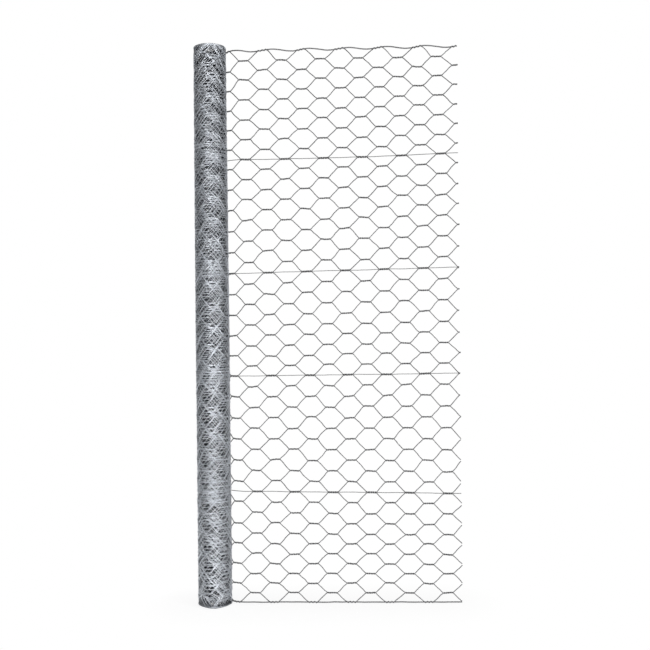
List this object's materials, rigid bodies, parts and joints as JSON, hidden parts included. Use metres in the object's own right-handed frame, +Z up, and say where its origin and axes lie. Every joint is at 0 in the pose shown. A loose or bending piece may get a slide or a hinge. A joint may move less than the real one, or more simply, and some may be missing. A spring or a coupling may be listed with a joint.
{
  "type": "roll of chicken wire",
  "caption": "Roll of galvanised hexagonal wire netting standing on its end, with its free end opened out as a flat flap held by straight line wires.",
  "frame": {"origin": "on the roll's axis at its lower end, where it stands on the floor", "axes": "+Z up along the roll's axis, +X along the flap away from the roll, -Y towards the viewer of the picture"},
  "size_m": [0.7246, 0.0928, 1.5284],
  "materials": {
    "rolled_wire": "galvanised, dull with bright edges",
    "flap_wire": "galvanised, dull"
  },
  "bodies": {
    "root": {"roll": "rolled_wire", "selvage_wire_bottom": "flap_wire", "selvage_wire_top": "flap_wire", "line_wire_1": "flap_wire", "line_wire_2": "flap_wire", "line_wire_3": "flap_wire", "line_wire_4": "flap_wire", "mesh_band_1": "flap_wire", "mesh_band_2": "flap_wire", "mesh_band_3": "flap_wire", "mesh_band_4": "flap_wire", "mesh_band_5": "flap_wire"}
  },
  "joints": []
}
